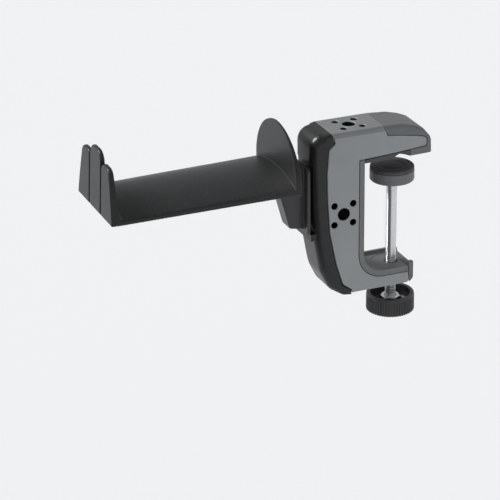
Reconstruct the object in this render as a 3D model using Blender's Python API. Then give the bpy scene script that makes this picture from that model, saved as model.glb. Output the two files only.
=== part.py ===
"""Headphone hook with a table C-clamp. Metres, +Z up.

The origin is the middle of the flat land on the upper jaw's clamping face. +X runs out along the jaws
towards the table, and the hook reaches towards -X. Sizes below are in millimetres and MM turns them
into metres.
"""

import math

import bmesh
import bpy
from mathutils import Matrix, Vector

MM = 0.001
GAP = 0.3                     # clearance between touching pieces
RIM = 0.3                     # small edge rounding of a moulding

# Clamp
HALF_WIDTH = 11.25            # half the clamp's width, across the side faces
TOP_Z = 19.3                  # top face above the clamping face
FLOOR_Z = -63.2               # bed of the lower jaw
BOTTOM_Z = -73.2              # underside of the lower jaw
THROAT_X = -7.2               # face of the throat liner
CORE_THROAT_X = -10.4         # wall of the core behind that liner
CORE_FLOOR_Z = -66.7          # lower arm of the core under the bed
UPPER_TIP_X = 31.7
LOWER_TIP_X = 22.4
SEAT_X = -36.2                # flat back face that the hook's plate faces
SEAT_TOP_Z = 3.3
TENON_HALF = 7.5              # the core's inner rib that carries the spine cover

# Hole patterns for accessories: four pilot holes round one centre hole
PATTERN_PITCH = 10.8
PILOT_RADIUS = 1.85
CENTRE_RADIUS = 3.5
TOP_PATTERN_X = -11.7
SIDE_PATTERN = (-19.2, -26.8)
PILOT_DEPTH = 7.0
TOP_CENTRE_DEPTH = 12.0

# Clamping screw
SPINDLE_X = 14.0
SPINDLE_RADIUS = 2.95
JOURNAL_RADIUS = 2.2
PLATE_RADIUS = 12.0
PAD_TOP_Z = -8.0              # the pressure pad's face at rest, on an 8 mm table top
KNOB_RADIUS = 13.2
KNOB_TOP_Z = -82.3
KNOB_BOTTOM_Z = -92.8
HEX_FLATS = 10.0              # M6 nut
SCREW_HOLE = SPINDLE_RADIUS + GAP

# Hook
HOOK_HALF = 26.2
DISC_RADIUS = 26.4
DISC_FRONT_X = -53.5
DISC_CENTRE_Z = 0.9
HOOK_BOTTOM_Z = -4.9
TIP_X = -153.2
ARCH_TOP_Z = 3.4
ARCH_WALL = 3.0
FINGER_TOPS = (28.6, 23.6)    # middle finger, outer fingers
SLOT_Y = 8.6
PLATE_FRONT_X = -39.5
PLATE_BACK_X = -37.8
PLATE_HALF = 9.7
PLATE_Z = (-35.9, 1.1)
FOOT_HALF = 5.0
BOLT_Z = -13.0
BOLT_RADIUS = 2.45
BOLT_HEAD_WAY = 5.3
BOLT_HEAD_SEAT_X = -15.6
ARM_SCREWS_X = (-61.0, -71.0)
DISC_BACK_X = -49.6           # at the disc's foot; the back leans away above it
DISC_BACK_LEAN = 0.075
DISC_BEVEL = 0.985            # the front face's size beside the rim's
FINGER_BACK_X = -148.6
FINGER_LEANS = (0.05, -0.02)  # front face, back face
SLOT_END_X = -149.2
SLOT_HALF = 0.5


def clear_scene():
    for old in list(bpy.data.objects):
        bpy.data.objects.remove(old, do_unlink=True)


def material(name, colour, roughness, metallic=0.0):
    made = bpy.data.materials.new(name)
    made.use_nodes = True
    shader = made.node_tree.nodes["Principled BSDF"]
    shader.inputs["Base Color"].default_value = (*colour, 1.0)
    shader.inputs["Roughness"].default_value = roughness
    shader.inputs["Metallic"].default_value = metallic
    return made


def add_object(name, mesh, look):
    made = bpy.data.objects.new(name, mesh)
    bpy.context.collection.objects.link(made)
    if look:
        mesh.materials.append(look)
    return made


def from_faces(name, points, faces, look=None):
    """A closed mesh from points in millimetres, with doubles merged and faces turned outwards."""
    mesh = bpy.data.meshes.new(name)
    mesh.from_pydata([Vector(p) * MM for p in points], [], faces)
    build = bmesh.new()
    build.from_mesh(mesh)
    bmesh.ops.remove_doubles(build, verts=build.verts, dist=1e-6)
    bmesh.ops.dissolve_degenerate(build, edges=build.edges, dist=1e-7)
    bmesh.ops.recalc_face_normals(build, faces=build.faces)
    build.to_mesh(mesh)
    build.free()
    return add_object(name, mesh, look)


def full_corner(corner):
    """(x, z, radius, edge, side) of a corner, with the values it leaves out filled in."""
    x, z, *rest = corner
    defaults = (0.0, RIM, None)
    return (x, z, *rest, *defaults[len(rest):])


def rounded_outline(corners, arc_steps=5):
    """Corners are (x, z, radius, edge, side). Returns (x, z, edge, side) with each radius as an arc."""
    outline = []
    count = len(corners)
    for i, corner in enumerate(corners):
        x, z, radius, edge, side = full_corner(corner)
        here = Vector((x, z))
        if radius <= 0.0:
            outline.append((x, z, edge, side))
            continue
        before = (Vector(corners[i - 1][:2]) - here).normalized()
        after = (Vector(corners[(i + 1) % count][:2]) - here).normalized()
        half = before.angle(after) / 2
        reach = radius / math.tan(half)
        centre = here + (before + after).normalized() * (radius / math.sin(half))
        start = here + before * reach - centre
        turn = (here + after * reach - centre).angle_signed(start)
        for step in range(arc_steps + 1):
            point = centre + Matrix.Rotation(turn * step / arc_steps, 2) @ start
            outline.append((point.x, point.y, edge, None))
    return outline


def inward_miters(outline):
    """The direction at each outline point in which one unit of inset moves it."""
    count = len(outline)
    area = sum(
        outline[i][0] * outline[(i + 1) % count][1] - outline[(i + 1) % count][0] * outline[i][1]
        for i in range(count)
    )
    turn = 1.0 if area > 0 else -1.0
    miters = []
    for i in range(count):
        here = Vector(outline[i][:2])
        first = (here - Vector(outline[i - 1][:2])).normalized()
        second = (Vector(outline[(i + 1) % count][:2]) - here).normalized()
        first_normal = Vector((-first.y, first.x)) * turn
        second_normal = Vector((-second.y, second.x)) * turn
        sum_normal = first_normal + second_normal
        miters.append(sum_normal / max(0.4, 1.0 + first_normal.dot(second_normal)))
    return miters


def rounded_prism(name, corners, half_width, look=None, steps=2, arc_steps=5):
    """An outline in X and Z run across the clamp's width, its edges rounded towards the side faces."""
    outline = rounded_outline(corners, arc_steps)
    miters = inward_miters(outline)
    count = len(outline)
    rings = []
    for sign in (-1.0, 1.0):
        for step in range(steps + 1):
            turn = math.pi / 2 * step / steps
            ring = []
            for (x, z, edge, side), miter in zip(outline, miters):
                inset = miter * edge
                depth = edge
                if side:
                    inset = Vector(side[:2]) - Vector((x, z))
                    depth = side[2]
                share = 1.0 - math.cos(turn)
                y = half_width - depth + depth * math.sin(turn)
                ring.append((x + inset.x * share, sign * y, z + inset.y * share))
            rings.append(ring)
    near, far = rings[: steps + 1][::-1], rings[steps + 1:]
    ordered = near + far
    points = [p for ring in ordered for p in ring]
    faces = [list(range(count)), list(range((len(ordered) - 1) * count, len(ordered) * count))]
    for r in range(len(ordered) - 1):
        for i in range(count):
            j = (i + 1) % count
            faces.append([r * count + i, r * count + j, (r + 1) * count + j, (r + 1) * count + i])
    return from_faces(name, points, faces, look)


def box(name, low, high, look=None):
    (x0, y0, z0), (x1, y1, z1) = low, high
    points = [(x, y, z) for x in (x0, x1) for y in (y0, y1) for z in (z0, z1)]
    faces = [(0, 1, 3, 2), (4, 6, 7, 5), (0, 4, 5, 1), (2, 3, 7, 6), (0, 2, 6, 4), (1, 5, 7, 3)]
    return from_faces(name, points, faces, look)


def lathe(name, profile, centre, look=None, sides=32, axis="Z"):
    """A closed profile of (radius, height), turned about an axis through centre."""
    count = len(profile)
    points = []
    for side in range(sides):
        turn = 2 * math.pi * (side + 0.5) / sides
        for radius, height in profile:
            local = Vector((radius * math.cos(turn), radius * math.sin(turn), height))
            if axis == "X":
                local = Vector((local.z, local.x, local.y))
            if axis == "Y":
                local = Vector((local.x, local.z, local.y))
            points.append(local + Vector(centre))
    faces = []
    for side in range(sides):
        after = (side + 1) % sides
        for i in range(count):
            j = (i + 1) % count
            faces.append([side * count + i, side * count + j, after * count + j, after * count + i])
    return from_faces(name, points, faces, look)


def rod(name, radius, low, high, centre=(0, 0, 0), look=None, sides=24, axis="Z"):
    return lathe(name, [(0, low), (radius, low), (radius, high), (0, high)], centre, look, sides, axis)


def ring_part(name, inner, outer, low, high, centre, look=None, sides=24, axis="Z"):
    profile = [(inner, low), (outer, low), (outer, high), (inner, high)]
    return lathe(name, profile, centre, look, sides, axis)


def hex_prism(name, flats, low, high, centre, look=None):
    return rod(name, flats / math.sqrt(3), low, high, centre, look, sides=6)


def combine(body, other, operation):
    """Applies one Boolean to body and removes the other object."""
    step = body.modifiers.new(operation.lower(), "BOOLEAN")
    step.operation = operation
    step.solver = "EXACT"
    step.object = other
    bpy.context.view_layer.update()
    result = bpy.data.meshes.new_from_object(body.evaluated_get(bpy.context.evaluated_depsgraph_get()))
    body.modifiers.clear()
    old = body.data
    body.data = result
    result.name = body.name
    bpy.data.meshes.remove(old)
    bpy.data.objects.remove(other, do_unlink=True)


def cut(body, *tools):
    for tool in tools:
        combine(body, tool, "DIFFERENCE")


def join(body, *others):
    for other in others:
        combine(body, other, "UNION")


def finish(body, angle=35.0):
    body.data.shade_smooth()
    body.data.set_sharp_from_angle(angle=math.radians(angle))


def grown(corners, amount):
    """The same outline, moved outwards by amount."""
    outline = [(*corner[:2],) for corner in corners]
    return [
        (x - miter.x * amount, z - miter.y * amount, *corner[2:])
        for (x, z), miter, corner in zip(outline, inward_miters(outline), corners)
    ]


# The seam between the core's side face and the spine cover, from the top face down to the underside
SEAM = [
    (-24.0, 13.8, 1.4), (-27.7, 10.6, 1.6), (-28.7, -3.0), (-28.4, -17.0), (-27.0, -37.0),
    (-23.2, -55.2), (-19.4, -67.6, 3.0), (-14.3, -71.2),
]
# The core's inner rib, which stands inside the spine cover
TENON = [
    (-20.0, 12.0), (-29.5, 12.5, 3.0), (-33.3, 8.0, 3.0), (-33.3, -20.0), (-31.8, -42.0),
    (-28.2, -57.0), (-23.5, -65.0), (-17.0, -67.5), (-16.0, -50.0), (-20.0, -20.0),
]
# The core's tongue, which the upper jaw's cap wraps
TONGUE = [(5.8, 13.6), (12.7, 12.7), (24.9, 10.6), (28.9, 9.4, 2.6), (28.6, 4.7, 1.0)]


def pattern_offsets():
    half = PATTERN_PITCH / 2
    return [(a, b) for a in (-half, half) for b in (-half, half)]


def make_core(look):
    corners = [
        (-26.2, TOP_Z, 0.0, RIM, (-24.0, 16.4, 0.8)), (3.4, TOP_Z, 0.0, RIM, (4.5, 16.4, 0.8)), *TONGUE,
        (18.7, 3.9), (7.1, 3.1), (CORE_THROAT_X, 2.3), (CORE_THROAT_X, CORE_FLOOR_Z, 14.5),
        (19.2, CORE_FLOOR_Z - 0.2), (19.8, -72.2), (18.6, BOTTOM_Z), (-14.1, BOTTOM_Z), *SEAM[::-1],
    ]
    core = rounded_prism("clamp_core", corners, HALF_WIDTH, look, arc_steps=6)
    join(core, rounded_prism("rib", TENON, TENON_HALF))
    side_x, side_z = SIDE_PATTERN
    pilot_floor = TOP_Z - PILOT_DEPTH
    for first, second in pattern_offsets():
        place = (TOP_PATTERN_X + first, second, 0)
        cut(core, rod("pilot", PILOT_RADIUS, pilot_floor, TOP_Z + 1, place, sides=12))
        place = (side_x + first, 0, side_z + second)
        for side in (-1, 1):
            ends = sorted((side * (HALF_WIDTH - PILOT_DEPTH), side * (HALF_WIDTH + 1)))
            cut(core, rod("pilot", PILOT_RADIUS, *ends, place, sides=12, axis="Y"))
    centre_floor = TOP_Z - TOP_CENTRE_DEPTH
    cut(core, rod("centre", CENTRE_RADIUS, centre_floor, TOP_Z + 1, (TOP_PATTERN_X, 0, 0)))
    reach = HALF_WIDTH + 1
    cut(core, rod("centre", CENTRE_RADIUS, -reach, reach, (side_x, 0, side_z), axis="Y"))
    cut(core, rod("bolt_way", BOLT_RADIUS + GAP, -40.0, 0.0, (0, 0, BOLT_Z), axis="X"))
    cut(core, rod("bolt_head_way", BOLT_HEAD_WAY, BOLT_HEAD_SEAT_X, 0.0, (0, 0, BOLT_Z), axis="X"))
    cut(core, hex_prism("nut_pocket", HEX_FLATS + 0.8, -72.3, -60.0, (SPINDLE_X, 0, 0)))
    cut(core, rod("screw_way", SCREW_HOLE + 0.2, -80.0, -60.0, (SPINDLE_X, 0, 0)))
    return core


def make_spine_cover(look):
    back = [
        (-26.5, TOP_Z, 0.0, RIM, (-24.3, 16.4, 0.8)), (-29.0, TOP_Z - 0.1, 0.0, 2.0),
        (-37.5, TOP_Z - 0.8, 7.5, 4.2), (-37.6, 3.0, 0.0, 4.4), (-36.6, -20.0, 0.0, 4.4),
        (-34.9, -42.0, 0.0, 4.4), (-31.6, -59.5, 18.0, 4.4), (-26.3, -70.0, 8.0, 3.6),
        (-18.6, -74.2, 5.0, 1.4), (-14.4, -74.2),
    ]
    seam = [(x - GAP - 0.1, z - 0.1, *rest) for x, z, *rest in SEAM[::-1]]
    cover = rounded_prism("spine_cover", back + seam, HALF_WIDTH, look, steps=4, arc_steps=5)
    cut(cover, rounded_prism("rib_space", grown(TENON, GAP + 0.05), TENON_HALF + GAP))
    cut(cover, box("seat", (-60.0, -20.0, PLATE_Z[0] - GAP), (SEAT_X, 20.0, SEAT_TOP_Z)))
    ledge = box("ledge", (-37.7, -PLATE_HALF, PLATE_Z[0] - 4.0), (-34.6, PLATE_HALF, PLATE_Z[0] - GAP))
    join(cover, ledge)
    cut(cover, box("spigot_way", (-60.0, -5.2, -31.0), (-30.0, 5.2, -5.0)))
    return cover


def make_upper_cap(look):
    tongue_section = [(3.4, TOP_Z), *TONGUE, (18.7, 3.9), (3.4, 3.9)]
    inner = grown(tongue_section, GAP)[1:-2]
    corners = [
        (3.7, TOP_Z, 0.0, RIM, (4.8, 16.4, 0.8)), (14.0, 18.7, 0.0, 1.6), (21.0, 17.0, 0.0, 1.8),
        (26.8, 14.6, 5.0, 1.8), (UPPER_TIP_X, 8.5, 6.0, 1.4), (UPPER_TIP_X, 0.1, 1.0, 1.0),
        (19.3, 0.1), (19.3, 3.6), *inner[::-1],
    ]
    return rounded_prism("upper_jaw_cap", corners, HALF_WIDTH, look, arc_steps=6)


def make_upper_pad(look):
    corners = [
        (-6.9, 0.0), (8.2, 0.0), (10.3, 1.15), (12.9, 2.3), (15.8, 1.5), (19.0, 0.1), (19.0, 3.6),
        (7.1, 2.8), (-6.9, 2.0),
    ]
    return rounded_prism("upper_jaw_pad", corners, HALF_WIDTH, look, steps=1)


def make_throat_liner(look):
    corners = [
        (THROAT_X, 2.0), (THROAT_X, FLOOR_Z, 11.3), (19.1, FLOOR_Z), (19.1, CORE_FLOOR_Z + 0.1),
        (CORE_THROAT_X + GAP, CORE_FLOOR_Z + GAP, 14.2), (CORE_THROAT_X + GAP, 2.0),
    ]
    liner = rounded_prism("throat_liner", corners, HALF_WIDTH, look, steps=1, arc_steps=8)
    join(liner, box("far_rim", (-1.0, 10.2, FLOOR_Z - 2.0), (19.1, HALF_WIDTH, FLOOR_Z + 2.1)))
    cut(liner, rod("dish", 12.5, FLOOR_Z - 0.4, FLOOR_Z + 9.0, (SPINDLE_X, -2.6, 0), sides=40))
    cut(liner, rod("screw_way", SCREW_HOLE + 0.4, -80.0, -50.0, (SPINDLE_X, 0, 0)))
    return liner


def make_lower_cap(look):
    corners = [
        (19.5, FLOOR_Z + 2.1), (LOWER_TIP_X, FLOOR_Z + 2.1, 0.0, 0.8), (LOWER_TIP_X, -71.4, 2.6, 0.8),
        (20.15, -72.94, 0.0, 0.1), (20.15, -72.4, 0.0, 0.1), (19.5, CORE_FLOOR_Z - 0.2, 0.0, 0.1),
    ]
    cap = rounded_prism("lower_jaw_cap", corners, HALF_WIDTH, look, steps=2)
    cut(cap, box("scoop", (15.0, -9.3, FLOOR_Z - 0.2), (30.0, 9.3, FLOOR_Z + 5)))
    return cap


def arch_height(y, edge_drop):
    return ARCH_TOP_Z - edge_drop * (y / HOOK_HALF) ** 2


def arch_section(x, edge_drop, steps=12):
    """The saddle's cross-section: a shallow arch with a downturned lip on each side."""
    outer = []
    inner = []
    inner_half = HOOK_HALF - ARCH_WALL
    for step in range(steps + 1):
        share = 2.0 * step / steps - 1.0
        y = share * HOOK_HALF
        outer.append((x, y, arch_height(y, edge_drop)))
        y = share * inner_half
        inner.append((x, y, arch_height(y, edge_drop) - ARCH_WALL))
    lip_out = [(x, HOOK_HALF, HOOK_BOTTOM_Z), (x, inner_half, HOOK_BOTTOM_Z)]
    lip_in = [(x, -inner_half, HOOK_BOTTOM_Z), (x, -HOOK_HALF, HOOK_BOTTOM_Z)]
    return outer + lip_out + inner[::-1] + lip_in


def loft(name, sections, look=None):
    count = len(sections[0])
    points = [p for section in sections for p in section]
    faces = [list(range(count)), list(range((len(sections) - 1) * count, len(sections) * count))]
    for r in range(len(sections) - 1):
        for i in range(count):
            j = (i + 1) % count
            faces.append([r * count + i, r * count + j, (r + 1) * count + j, (r + 1) * count + i])
    return from_faces(name, points, faces, look)


def disc_outline(steps=28):
    sides = [(HOOK_HALF, HOOK_BOTTOM_Z), (-HOOK_HALF, HOOK_BOTTOM_Z)]
    arc = []
    for step in range(steps + 1):
        turn = math.pi * (1.0 - step / steps)
        arc.append((DISC_RADIUS * math.cos(turn), DISC_CENTRE_Z + DISC_RADIUS * math.sin(turn)))
    return arc + sides


def make_disc():
    """The guard disc: its front is upright, and its back leans so that it is thicker at the foot."""
    outline = disc_outline()
    front = [(DISC_FRONT_X, y, z) for y, z in outline]
    back = [(DISC_BACK_X - DISC_BACK_LEAN * (z - HOOK_BOTTOM_Z), y, z) for y, z in outline]
    rim = [(front_point[0] + 0.5, y, z) for front_point, (y, z) in zip(front, outline)]
    front = [
        (x, y * DISC_BEVEL, DISC_CENTRE_Z + (z - DISC_CENTRE_Z) * DISC_BEVEL) for x, y, z in front
    ]
    return loft("disc", [front, rim, back])


def finger_outline(middle, side=1.0, steps=6):
    """One finger seen along X. The middle one has upright edges, and the outer ones lean in at the top."""
    bottom = HOOK_BOTTOM_Z - 0.2
    if middle:
        half = SLOT_Y - SLOT_HALF
        top = FINGER_TOPS[0]
        corners = [(-half, bottom), (half, bottom), (half, top, 5.2), (-half, top, 5.2)]
    else:
        inner = side * (SLOT_Y + SLOT_HALF)
        corners = [
            (inner, bottom), (side * (HOOK_HALF + 0.1), bottom, 1.0), (side * 24.6, 5.0),
            (side * 20.2, FINGER_TOPS[1], 4.4), (inner, FINGER_TOPS[1], 3.6),
        ]
    return [(y, z) for y, z, *_ in rounded_outline(corners, steps)]


def make_finger(name, middle, side=1.0):
    outline = finger_outline(middle, side)
    front_lean, back_lean = FINGER_LEANS
    front = [(TIP_X + front_lean * (z - HOOK_BOTTOM_Z), y, z) for y, z in outline]
    back = [(FINGER_BACK_X + back_lean * (z - HOOK_BOTTOM_Z), y, z) for y, z in outline]
    return loft(name, [front, back])


def make_hook(look):
    drops = (4.6, 5.3, 6.2)
    stations = (DISC_FRONT_X + 1.0, -100.0, -150.0)
    sections = [arch_section(x, drop) for x, drop in zip(stations, drops)]
    hook = loft("hook_body", sections, look)
    join(hook, make_disc())
    for middle, side in ((True, 1.0), (False, 1.0), (False, -1.0)):
        join(hook, make_finger("finger", middle, side))
    for side in (-1, 1):
        slot = (side * SLOT_Y - SLOT_HALF, side * SLOT_Y + SLOT_HALF)
        cut(hook, box("slot", (-160.0, slot[0], -10.0), (SLOT_END_X, slot[1], 40.0)))
    for x in ARM_SCREWS_X:
        join(hook, rod("boss", 3.6, -1.3, 1.6, (x, 0, 0)))
        cut(hook, rod("pilot", 1.75, -3.0, 2.2, (x, 0, 0), sides=12))
    return hook


def make_bracket(look):
    foot = [
        (-76.0, -1.7), (-54.0, -1.7), (-54.0, -5.4), (-49.0, -5.4), (-48.7, 0.4), (-38.5, 0.4),
        (-38.5, -34.4), (-47.7, -32.6, 1.2), (-55.4, -4.6), (-76.0, -4.6),
    ]
    bracket = rounded_prism("mounting_bracket", foot, FOOT_HALF, look, steps=2)
    low, high = PLATE_Z
    plate = [
        (-PLATE_HALF, low, 1.2), (PLATE_HALF, low, 1.2), (PLATE_HALF, high, 2.4), (-PLATE_HALF, high, 2.4),
    ]
    outline = [(y, z) for y, z, *_ in rounded_outline(plate, 4)]
    middle = (low + high) / 2
    small = [(y * 0.96, (z - middle) * 0.985 + middle) for y, z in outline]
    stations = ((PLATE_FRONT_X, small), (PLATE_FRONT_X + 0.4, outline), (PLATE_BACK_X, outline))
    join(bracket, loft("plate", [[(x, y, z) for y, z in shape] for x, shape in stations]))
    join(bracket, box("spigot", (-38.6, -4.8, -30.6), (-33.7, 4.8, -5.4)))
    cut(bracket, rod("bolt_way", BOLT_RADIUS + GAP, -47.8, -30.0, (0, 0, BOLT_Z), axis="X"))
    cut(bracket, box("nut_slot", (-46.0, -4.3, BOLT_Z - 4.3), (-41.4, 6.0, BOLT_Z + 4.3)))
    for x in ARM_SCREWS_X:
        cut(bracket, rod("screw_way", 1.8, -8.0, 2.0, (x, 0, 0), sides=12))
    return bracket


def screw(name, radius, head_radius, head_height, length, place, axis, look, sides=16):
    """A pan-head screw: the head's underside is at 0, and the shank runs to length."""
    profile = [
        (0, -head_height), (head_radius * 0.8, -head_height), (head_radius, -head_height * 0.6),
        (head_radius, 0), (radius, 0), (radius, length), (0, length),
    ]
    return lathe(name, profile, place, look, sides, axis)


def make_holder_fasteners(look):
    bolt = [
        (0, -11.3), (3.4, -11.3), (4.6, -12.4), (4.6, -14.0), (BOLT_RADIUS, -14.0),
        (BOLT_RADIUS, -47.3), (0, -47.3),
    ]
    place = (0, 0, BOLT_Z)
    made = [lathe("holder_bolt", bolt, place, look, 20, "X")]
    made.append(ring_part("holder_washer", BOLT_RADIUS + GAP, 4.9, -15.3, -14.3, place, look, 20, "X"))
    nut = box("holder_nut", (-45.7, -4.0, BOLT_Z - 4.0), (-41.7, 4.0, BOLT_Z + 4.0), look)
    cut(nut, rod("thread", BOLT_RADIUS + GAP, -50.0, -30.0, (0, 0, BOLT_Z), axis="X", sides=20))
    made.append(nut)
    for label, x in zip(("rear", "front"), ARM_SCREWS_X):
        made.append(screw(f"bracket_screw_{label}", 1.4, 2.8, 1.6, 6.6, (x, 0, -4.9), "Z", look))
    return made


def make_screw_group(looks):
    """Everything on the clamping screw, with each moving piece's origin on the screw's axis."""
    axis = (SPINDLE_X, 0, 0)
    spindle = [
        (0, -91.6), (SPINDLE_RADIUS, -91.6), (SPINDLE_RADIUS, -16.1), (JOURNAL_RADIUS, -16.1),
        (JOURNAL_RADIUS, -12.35), (1.7, -12.35), (1.7, -11.05), (JOURNAL_RADIUS, -11.05),
        (JOURNAL_RADIUS, -10.3), (0, -10.3),
    ]
    plate = [
        (2.55, -15.8), (5.6, -15.8), (6.2, -12.9), (10.2, -12.9), (10.6, -15.8),
        (PLATE_RADIUS - 0.4, -15.8), (PLATE_RADIUS, -15.2), (PLATE_RADIUS, -9.8), (5.4, -9.8),
        (5.4, -12.5), (2.55, -12.5),
    ]
    pad_radius = PLATE_RADIUS - 0.1
    pad = [
        (0, PAD_TOP_Z - 1.5), (pad_radius, PAD_TOP_Z - 1.5), (pad_radius, PAD_TOP_Z - 0.5),
        (pad_radius - 0.5, PAD_TOP_Z), (0, PAD_TOP_Z),
    ]
    knob = [
        (0, KNOB_BOTTOM_Z), (KNOB_RADIUS - 1.6, KNOB_BOTTOM_Z), (KNOB_RADIUS - 0.4, KNOB_BOTTOM_Z + 0.5),
        (KNOB_RADIUS, KNOB_BOTTOM_Z + 1.6), (KNOB_RADIUS, KNOB_TOP_Z - 0.5),
        (KNOB_RADIUS - 0.5, KNOB_TOP_Z), (KNOB_RADIUS - 2.0, KNOB_TOP_Z),
        (KNOB_RADIUS - 2.4, KNOB_TOP_Z - 0.4), (KNOB_RADIUS - 2.6, -89.4), (4.9, -89.4),
        (4.9, -92.0), (0, -92.0),
    ]
    made = [
        lathe("spindle", spindle, axis, looks["steel"], 24),
        lathe("pressure_plate", plate, axis, looks["plastic"], 40),
        lathe("pressure_pad", pad, axis, looks["soft"], 40),
        lathe("knob", knob, axis, looks["knob"], 48),
        ring_part("retaining_clip", 2.0, 4.4, -12.1, -11.3, axis, looks["steel"]),
        ring_part("knob_insert", SCREW_HOLE, 4.6, -91.7, -89.5, axis, looks["brass"]),
    ]
    for name, low, high in (("knob_nut", -89.2, -84.2), ("jaw_nut", -72.0, -67.2)):
        nut = hex_prism(name, HEX_FLATS, low, high, axis, looks["steel"])
        cut(nut, rod("thread", SCREW_HOLE, -100.0, -50.0, axis, sides=24))
        made.append(nut)
    for piece in made:
        piece.data.transform(Matrix.Translation(Vector((-SPINDLE_X * MM, 0, 0))))
        piece.location.x = SPINDLE_X * MM
    return made


def main():
    clear_scene()
    looks = {
        "grey": material("grey_plastic", (0.13, 0.14, 0.14), 0.45),
        "plastic": material("black_plastic", (0.03, 0.032, 0.033), 0.5),
        "soft": material("soft_cover", (0.022, 0.023, 0.024), 0.55),
        "knob": material("knob_plastic", (0.02, 0.02, 0.02), 0.5),
        "steel": material("zinc_steel", (0.75, 0.75, 0.77), 0.25, 1.0),
        "brass": material("brass", (0.8, 0.6, 0.3), 0.3, 1.0),
    }
    made = [
        make_core(looks["grey"]),
        make_spine_cover(looks["soft"]),
        make_upper_cap(looks["plastic"]),
        make_upper_pad(looks["soft"]),
        make_throat_liner(looks["soft"]),
        make_lower_cap(looks["plastic"]),
        make_hook(looks["plastic"]),
        make_bracket(looks["plastic"]),
        *make_holder_fasteners(looks["steel"]),
        *make_screw_group(looks),
    ]
    for piece in made:
        finish(piece)


main()
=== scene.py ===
# %% [markdown]
# # A headphone hook on a table C-clamp
#
# This lesson dresses a finished CAD model. The CAD model says where every piece is and how it moves.
# Each cell below makes one piece or one finish again, with the rounded edges, grain and small parts
# that a maker would see on the bench, and hides the CAD node it stands for.

import math

import bmesh
import bpy
from mathutils import Matrix, Vector


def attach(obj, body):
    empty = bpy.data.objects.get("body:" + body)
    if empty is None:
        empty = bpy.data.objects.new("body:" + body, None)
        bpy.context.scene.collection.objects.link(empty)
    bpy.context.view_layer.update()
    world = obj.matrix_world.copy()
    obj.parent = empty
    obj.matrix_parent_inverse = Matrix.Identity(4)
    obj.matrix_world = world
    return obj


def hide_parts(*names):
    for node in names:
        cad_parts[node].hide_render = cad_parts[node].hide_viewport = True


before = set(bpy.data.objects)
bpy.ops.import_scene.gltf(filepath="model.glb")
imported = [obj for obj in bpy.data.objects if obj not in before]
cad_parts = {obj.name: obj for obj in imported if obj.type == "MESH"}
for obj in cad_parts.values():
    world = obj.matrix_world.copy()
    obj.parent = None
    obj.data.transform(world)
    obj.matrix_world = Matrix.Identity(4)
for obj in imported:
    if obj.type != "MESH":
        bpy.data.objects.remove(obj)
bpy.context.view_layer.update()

# %% [markdown]
# ## Camera
#
# A product like this is shown from a little above and to the left, through a long lens, so that
# parallel edges stay nearly parallel. We could place the camera by hand. Instead two angles and a
# distance place it, because they are easy to read and to change.

# %% Camera
AIM = Vector((-0.0684, 0.0, -0.0429))
TURN = math.radians(-22.3)
RISE = math.radians(23.96)
ROLL = math.radians(-0.72)
DISTANCE = 1.182
LENS = 161.7


def make_camera():
    back = Vector((math.sin(TURN) * math.cos(RISE), -math.cos(TURN) * math.cos(RISE), math.sin(RISE)))
    lens = bpy.data.cameras.new("camera")
    lens.lens = LENS
    lens.sensor_width = 36.0
    camera = bpy.data.objects.new("camera", lens)
    bpy.context.collection.objects.link(camera)
    level = (-back).to_track_quat("-Z", "Y").to_matrix()
    turned = Matrix.Rotation(ROLL, 3, back) @ level
    camera.matrix_world = Matrix.Translation(AIM + back * DISTANCE) @ turned.to_4x4()
    bpy.context.scene.camera = camera
    return camera


camera = make_camera()
print("camera at, mm:", [round(v * 1000) for v in camera.location])

# %% [markdown]
# ## Floor and light
#
# The object hangs from a table edge, so nothing here holds it up, and a pale floor lies well below.
# Dark plastic shows its shape by what it reflects. One large soft light high on the left draws the
# bright edges, with a second one that shows in reflections only. A pale surround fills the rest. A
# black card to the left, also seen in reflections only, puts the dark stripe down the steel screw.

# %% Floor and light
FLOOR_Z = -0.30
FLOOR_TONE = (0.965, 0.97, 0.98, 1.0)
FLOOR_REACH = 6.0
CARD_RADIUS = 0.42
CARD_TOP = -0.02
CARD_STEPS = 12
CARD_START, CARD_SWEEP = -180.0, 60.0
SCREW_X = 0.014
KEY_FROM = Vector((-0.60, 0.36, 0.72))
WORLD_STRENGTH = 0.46
KEY_STRENGTH, KEY_WIDTH = 2.0, 26.0
GLINT_STRENGTH, GLINT_WIDTH = 4.0, 26.0


def plain_material(name, tone):
    made = bpy.data.materials.new(name)
    made.use_nodes = True
    shader = made.node_tree.nodes["Principled BSDF"]
    shader.inputs["Base Color"].default_value = tone
    shader.inputs["Roughness"].default_value = 0.9
    shader.inputs["Specular IOR Level"].default_value = 0.0
    return made


def sheet_object(name, points, faces, look):
    sheet = bpy.data.meshes.new(name)
    sheet.from_pydata(points, [], faces)
    sheet.shade_smooth()
    made = bpy.data.objects.new(name, sheet)
    bpy.context.collection.objects.link(made)
    sheet.materials.append(look)
    return made


def make_floor():
    ends = [(-1, -1), (1, -1), (1, 1), (-1, 1)]
    points = [(x * FLOOR_REACH, y * FLOOR_REACH, FLOOR_Z) for x, y in ends]
    sheet_object("floor", points, [(0, 1, 2, 3)], plain_material("pale_floor", FLOOR_TONE))


def make_card():
    """A curved black card, upright on the floor from the left round to the front."""
    points = []
    for step in range(CARD_STEPS + 1):
        turn = math.radians(CARD_START + CARD_SWEEP * step / CARD_STEPS)
        x, y = SCREW_X + CARD_RADIUS * math.cos(turn), CARD_RADIUS * math.sin(turn)
        points += [(x, y, FLOOR_Z), (x, y, CARD_TOP)]
    faces = [(2 * i, 2 * i + 2, 2 * i + 3, 2 * i + 1) for i in range(CARD_STEPS)]
    black = plain_material("card_black", (0.01, 0.01, 0.01, 1.0))
    card = sheet_object("black_card", points, faces, black)
    card.visible_camera = False
    card.visible_diffuse = False
    card.visible_shadow = False


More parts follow.
